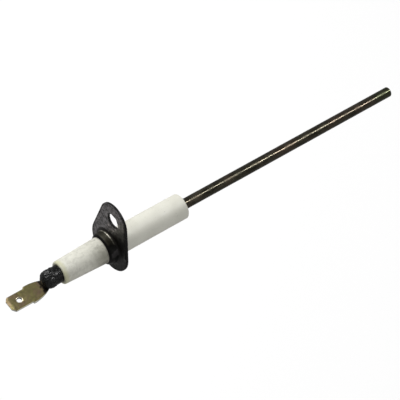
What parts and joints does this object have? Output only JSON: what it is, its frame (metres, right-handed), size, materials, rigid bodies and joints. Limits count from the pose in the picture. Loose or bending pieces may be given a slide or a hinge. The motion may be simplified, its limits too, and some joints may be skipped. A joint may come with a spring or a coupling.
{
  "type": "flame sensor probe",
  "caption": "Straight heat-resistant rod in a ceramic insulator, held by an eared steel flange, with a push-on blade terminal sealed in a dark bead.",
  "frame": {"origin": "where the probe's axis crosses the front face of the flange, the face that seats on the burner wall", "axes": "+X along the probe toward the rod's tip, +Z from the probe's axis to the flange's ear and fixing hole"},
  "size_m": [0.1755, 0.02, 0.0313],
  "materials": {
    "heat_resistant_wire": "dark oxidised drawn wire",
    "insulator_ceramic": "fired, unglazed, faintly speckled",
    "flange_steel": "dark oxidised pressed sheet",
    "refractory_cement": "dry and grainy",
    "plated_terminal": "dull yellow plating",
    "weld_metal": "rough, heat-stained",
    "sealing_compound": "lumpy and glossy"
  },
  "bodies": {
    "root": {"flame_rod": "heat_resistant_wire", "ceramic_insulator": "insulator_ceramic", "mounting_flange": "flange_steel", "flange_cement": "refractory_cement", "rod_cement": "refractory_cement", "blade_terminal": "plated_terminal", "terminal_weld": "weld_metal", "sealing_bead": "sealing_compound"}
  },
  "joints": []
}
